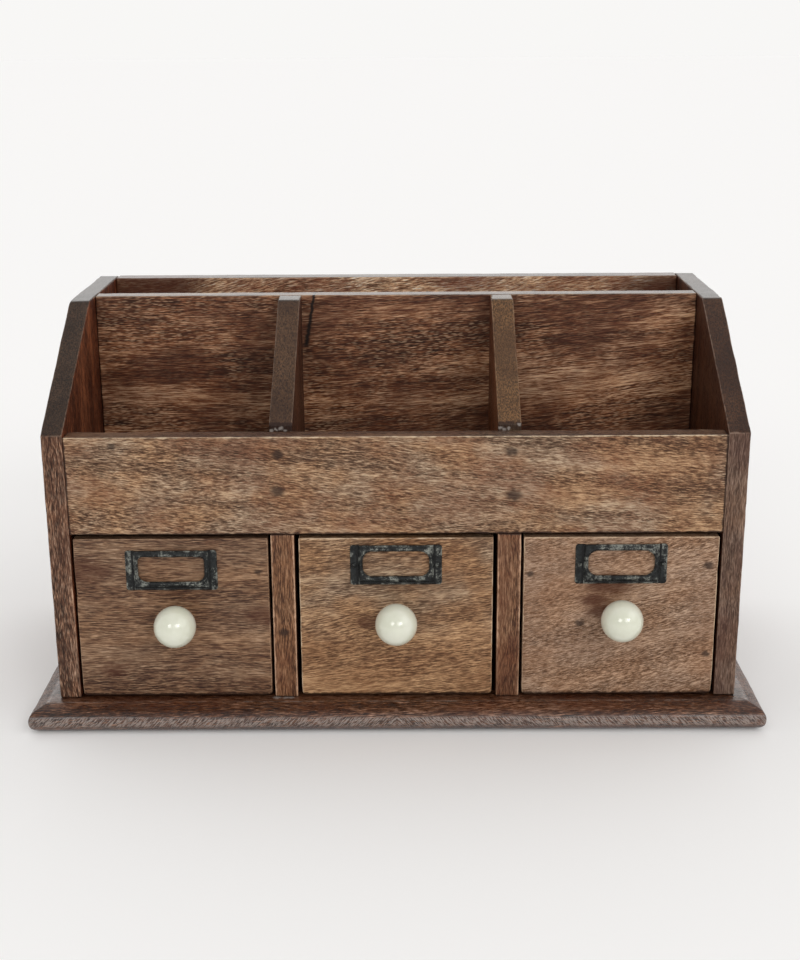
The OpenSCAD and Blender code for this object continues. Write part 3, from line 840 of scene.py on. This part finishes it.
def cut_screw_recesses(piece):
    """Round recesses in the underside, one below the head of each base screw."""
    screws = islands("base_screws")
    places = [((centre[0], centre[1], 0), (0, 0, 1)) for centre, half in screws]
    centre, half = screws[-1]
    radius, sink = half[0], centre[2] - half[2]
    profile = [(0, -1 * MM), (radius, -1 * MM), (radius, sink), (0, sink)]
    cutter = lathe("recess_cutter", profile, places, WOODS["base"], segments=32)
    cut = piece.modifiers.new("recesses", "BOOLEAN")
    cut.object = cutter
    cut.solver = "EXACT"
    whole = piece.evaluated_get(bpy.context.evaluated_depsgraph_get())
    mesh = bpy.data.meshes.new_from_object(whole)
    piece.modifiers.remove(cut)
    piece.data = mesh
    bpy.data.objects.remove(cutter)


def make_base():
    low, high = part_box("base_board")
    profile = base_profile(high.z)
    loops = [base_loop(low, high, inset, z) for inset, z in profile]
    count = len(loops[0])
    points = np.array([p for loop in loops for p in loop])
    faces = []
    for row in range(len(loops) - 1):
        for i in range(count):
            a, b = row * count + i, row * count + (i + 1) % count
            faces.append((a, b, b + count, a + count))
    faces.append(tuple(reversed(range(count))))
    faces.append(tuple(range((len(loops) - 1) * count, len(loops) * count)))
    inset = np.repeat([p[0] for p in profile], count)
    level = np.repeat([p[1] for p in profile], count)
    edge = np.hypot(inset - SHOULDER, level - high.z) / MM

    centre = (np.array(low) + np.array(high)) / 2
    moulded = np.clip((SHOULDER + 2 * MM - inset) / (4 * MM), 0, 1) * np.clip(level / (2 * MM), 0, 1)
    at_back = np.clip((high.y - points[:, 1]) / (6 * MM), 0, 1)
    # Broad and fine hollows along the moulded edges, fading out towards the back
    dip = (0.5 + 0.5 * ripple(points, 33 * MM, 90)) * 0.3 + (0.5 + 0.5 * ripple(points, 12 * MM, 91)) * 0.12
    for axis, half in ((0, (high.x - low.x) / 2), (1, (high.y - low.y) / 2)):
        offset = points[:, axis] - centre[axis]
        near = np.clip(1 - (half - np.abs(offset)) / (14 * MM), 0, 1)
        points[:, axis] -= np.sign(offset) * near * moulded * at_back * dip * MM
    piece = make_piece("base_board.wood", points, faces, WOODS["base"], edge=edge)
    cut_screw_recesses(piece)
    attach(piece, "carcass", "base_board")


# ---- drawers -----------------------------------

# Card frames: height of the wings and of the pocket above the wood, and radius of the rolled borders
SHEET, RAISED, ROLL = 0.9 * MM, 2.3 * MM, 0.5 * MM
# Half the pocket's width, the radius of the outer corners, and the window's size and rise above the middle
POCKET, FRAME_CORNER = 38.6 * MM / 2, 1.6 * MM
WINDOW_WIDTH, WINDOW_HEIGHT, WINDOW_RISE = 34 * MM, 13.6 * MM, 0.8 * MM
# Radii of the upper and lower corners of each window, in mm
WINDOW_CORNERS = {"left": (2.6, 4.6), "middle": (4.8, 4.6), "right": (5.2, 5.2)}


def front_shape(low_z):
    """The lower front edge of a drawer front is rounded further than the others."""

    def shape(points, radii):
        front = points[:, 1] < np.median(points[:, 1])
        lower = np.clip(1 - (points[:, 2] - low_z) / (6 * MM), 0, 1) * front
        return radii * (1 - lower) + 2.4 * MM * lower

    return shape


def knob_profile():
    """Foot, neck and ball as (radius, distance from the drawer front), from the bore round to the pole."""
    ball, reach = 10.78 * MM, 15 * MM
    neck, foot, foot_length = 4.0 * MM, 4.8 * MM, 1.4 * MM
    bore, bore_length = 2.0 * MM, 11 * MM
    outline = [(0, bore_length), (bore, bore_length), (bore, 0), (foot - 0.3 * MM, 0), (foot, 0.3 * MM),
               (foot, foot_length - 0.3 * MM), (foot - 0.3 * MM, foot_length), (neck, foot_length + 0.6 * MM)]
    start = math.asin(neck / ball)
    steps = 44
    for i in range(steps + 1):
        a = start + (math.pi - start) * i / steps
        outline.append((ball * math.sin(a), reach - ball * math.cos(a)))
    return outline


def make_knob(drawer):
    node = drawer + "_drawer_knob"
    low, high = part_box(node)
    centre = ((low.x + high.x) / 2, high.y, (low.z + high.z) / 2)
    piece = lathe(node + ".glaze", knob_profile(), [(centre, (0, -1, 0))], GLAZE)
    attach(piece, drawer + "_drawer", node)


def rounded_window(x, z, width, height, upper, lower):
    """Distance outside a window with rounded corners, centred on 0."""
    r = np.where(z > 0, upper, lower)
    qx, qz = np.abs(x) - width / 2 + r, np.abs(z) - height / 2 + r
    return np.hypot(np.maximum(qx, 0), np.maximum(qz, 0)) + np.minimum(np.maximum(qx, qz), 0) - r


def sheet_grid(width, height, outside):
    """Points and quads of a flat sheet with the window left out, and the edges along its borders."""
    nx, nz = 180, 80
    xs, zs = np.linspace(-width / 2, width / 2, nx), np.linspace(-height / 2, height / 2, nz)
    x, z = (g.ravel() for g in np.meshgrid(xs, zs, indexing="ij"))
    quads = []
    for i in range(nx - 1):
        for j in range(nz - 1):
            if outside((xs[i] + xs[i + 1]) / 2, (zs[j] + zs[j + 1]) / 2) > 0:
                quads.append((i * nz + j, (i + 1) * nz + j, (i + 1) * nz + j + 1, i * nz + j + 1))
    sides = [side for q in quads for side in zip(q, q[1:] + q[:1])]
    paired = set(sides)
    return x, z, quads, [(a, b) for a, b in sides if (b, a) not in paired]


def fit_window(x, z, width, height, border, outside):
    """Moves the points round the window onto its smooth outline, where outside is 0."""
    inside = (np.abs(x) < width / 2 - MM) & (np.abs(z) < height / 2 - MM)
    rim = np.array(sorted({v for e in border for v in e if inside[v]}))
    tiny = 0.01 * MM
    for _ in range(3):
        gap = outside(x[rim], z[rim])
        slope_x = (outside(x[rim] + tiny, z[rim]) - gap) / tiny
        slope_z = (outside(x[rim], z[rim] + tiny) - gap) / tiny
        x[rim] -= gap * slope_x
        z[rim] -= gap * slope_z


def smooth(v):
    v = np.clip(v, 0, 1)
    return v * v * (3 - 2 * v)


def hump(v, middle, width):
    return np.exp(-(((v - middle) / width) ** 2))


def press(x, z, height, to_rim, to_border, seed):
    """How far the pressed metal stands off the wood, its nearness to ridges that take scuffs and painted
    highlights, and its hollows of painted shade.
    """
    from_bottom = z + height / 2
    in_pocket = smooth((POCKET + 0.2 * MM - np.abs(x)) / (1.2 * MM))
    raised = smooth((from_bottom - 0.3 * MM) / (1.1 * MM))
    bead = hump(to_rim, 1.2 * MM, 0.55 * MM) * in_pocket
    groove = hump(from_bottom, 1.7 * MM, 0.45 * MM) * in_pocket
    out = SHEET + (RAISED - 0.3 * MM - SHEET) * in_pocket * raised + (0.3 * bead - 0.7 * groove) * MM
    dents = np.column_stack([x, z * 0, z])
    out -= (0.5 + 0.5 * ripple(dents, 5 * MM, seed)) * 0.18 * MM
    nearest = np.clip(np.minimum(to_rim, to_border), 0, ROLL)
    out -= ROLL - np.sqrt(np.maximum(ROLL**2 - (ROLL - nearest) ** 2, 0))
    shoulder = np.abs(POCKET - 0.4 * MM - np.abs(x)) + 0.2 * MM
    edge = np.minimum(np.minimum(to_rim, to_border), shoulder) / MM
    edge = np.minimum(edge, 0.9 - 0.8 * bead)
    return out, edge, np.maximum(hump(np.abs(x) - POCKET, 0.5 * MM, 0.7 * MM), groove)


def make_card_frame(drawer, seed):
    """Pressed sheet with two flat wings and a raised pocket, open at the top, round a window."""
    node = drawer + "_drawer_label_holder"
    low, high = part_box(node)
    width, height = high.x - low.x, high.z - low.z
    upper, lower = (radius * MM for radius in WINDOW_CORNERS[drawer])

    def outside(x, z):
        return rounded_window(x, z - WINDOW_RISE, WINDOW_WIDTH, WINDOW_HEIGHT, upper, lower)

    x, z, quads, border = sheet_grid(width, height, outside)
    fit_window(x, z, width, height, border, outside)
    to_rim = np.maximum(outside(x, z), 0)
    to_border = -rounded_window(x, z, width, height, FRAME_CORNER, FRAME_CORNER)
    pull = np.minimum(to_border, 0) * 0.7
    x += np.sign(x) * pull
    z += np.sign(z) * pull
    out, edge, shaded_hollow = press(x, z, height, to_rim, np.maximum(to_border, 0), seed)
    inner = np.maximum(out - SHEET * 0.8, 0)

    mid_x, mid_z = (low.x + high.x) / 2, (low.z + high.z) / 2
    front = np.column_stack([mid_x + x, high.y - out, mid_z + z])
    back = np.column_stack([mid_x + x, high.y - inner, mid_z + z])
    count = len(front)
    faces = quads + [tuple(v + count for v in reversed(q)) for q in quads]
    faces += [(b, a, a + count, b + count) for a, b in border]
    piece = make_piece(node + ".metal", np.concatenate([front, back]), faces, PATINA,
                       edge=np.tile(edge, 2), joint=np.tile(shaded_hollow, 2))
    tidy_mesh(piece)
    attach(piece, drawer + "_drawer", node)


def make_pins(drawer):
    """Two round-head nails for the card frame."""
    node = drawer + "_drawer_label_pins"
    low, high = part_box(node)
    head, shank, dome = 1.3 * MM, 0.6 * MM, 0.95 * MM
    front_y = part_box(drawer + "_drawer_label_holder")[1].y
    middle_z = (low.z + high.z) / 2
    arc = [math.radians(90 * i / 8) for i in range(9)]
    tip, under = SHEET - 8 * MM, SHEET - 0.2 * MM
    profile = [(0, tip), (shank, tip), (shank, under), (head, under)]
    profile += [(head * math.cos(a), SHEET + dome * math.sin(a)) for a in arc]
    places = [((x, front_y, middle_z), (0, -1, 0)) for x in (low.x + head, high.x - head)]
    nails = lathe(node + ".nails", profile, places, PATINA, segments=24)
    attach(nails, drawer + "_drawer", node)


def make_drawer(drawer, seed):
    body = drawer + "_drawer"
    node = body + "_front"
    low_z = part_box(node)[0].z
    # The wide dark band along the lower edge of the front is painted shade under its rounded edge.
    board(node, body, WOODS[drawer + "_front"], seed=seed, step=2.5,
          shape=front_shape(low_z), joined="-z", shade_and_dirt_width=2.6)
    make_knob(drawer)
    make_card_frame(drawer, seed + 5)
    make_pins(drawer)


def repaint(node, material):
    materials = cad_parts[node].data.materials
    materials.clear()
    materials.append(material)


BOX_PARTS = (("side_left", "drawer_side"), ("side_right", "drawer_side"), ("back", "drawer_box"),
             ("bottom", "drawer_bottom"))
BRAD_SINK = 1.2 * MM
FORWARD, BACKWARD = (0, -1, 0), (0, 1, 0)


def make_brads(node, body, way=None, middle=0):
    """Brads whose heads are punched below the surface. The heads point way, or away from x = middle."""
    places = []
    for centre, half in islands(node):
        out = np.array(way or (1 if centre[0] > middle else -1, 0, 0), float)
        length = 2 * abs(out @ np.array(half))
        head = min(h for h, o in zip(half, out) if not o)
        places.append((tuple(np.array(centre) + out * (length / 2 - BRAD_SINK)), tuple(out)))
    shank, taper = head * 0.64, 3 * head
    profile = [(0, 0), (head * 0.85, 0), (head, -0.15 * MM), (head, -0.5 * MM), (shank, -1 * MM)]
    profile += [(shank, taper + BRAD_SINK - length), (0, BRAD_SINK - length)]
    attach(lathe(node + ".steel", profile, places, BRAD, segments=16), body, node)


def finish_fasteners():
    """Brads are sunk. Screws and drawer boxes keep their CAD shape, with eased edges on the boards."""
    make_brads("rail_brads", "carcass", FORWARD)
    make_brads("back_brads", "carcass", BACKWARD)
    make_brads("divider_brads", "carcass", BACKWARD)
    make_brads("side_brads_left", "carcass")
    make_brads("side_brads_right", "carcass")
    repaint("base_screws", SCREW)
    for drawer in DRAWERS:
        body = drawer + "_drawer_"
        make_brads(body + "front_brads", drawer + "_drawer", FORWARD)
        low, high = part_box(body + "front")
        make_brads(body + "back_brads", drawer + "_drawer", middle=(low.x + high.x) / 2)
        repaint(body + "knob_screw", SCREW)
        for part, wood_name in BOX_PARTS:
            repaint(body + part, WOODS[wood_name])
            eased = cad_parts[body + part].modifiers.new("eased", "BEVEL")
            eased.width = 0.5 * MM
            eased.segments = 2
            eased.limit_method = "ANGLE"
            eased.angle_limit = math.radians(40)


make_camera()
make_studio()
make_carcass()
make_base()
for number, drawer_name in enumerate(DRAWERS):
    make_drawer(drawer_name, 100 + 10 * number)
finish_fasteners()

view = bpy.context.scene.view_settings
view.view_transform = "Standard"
view.look = "None"
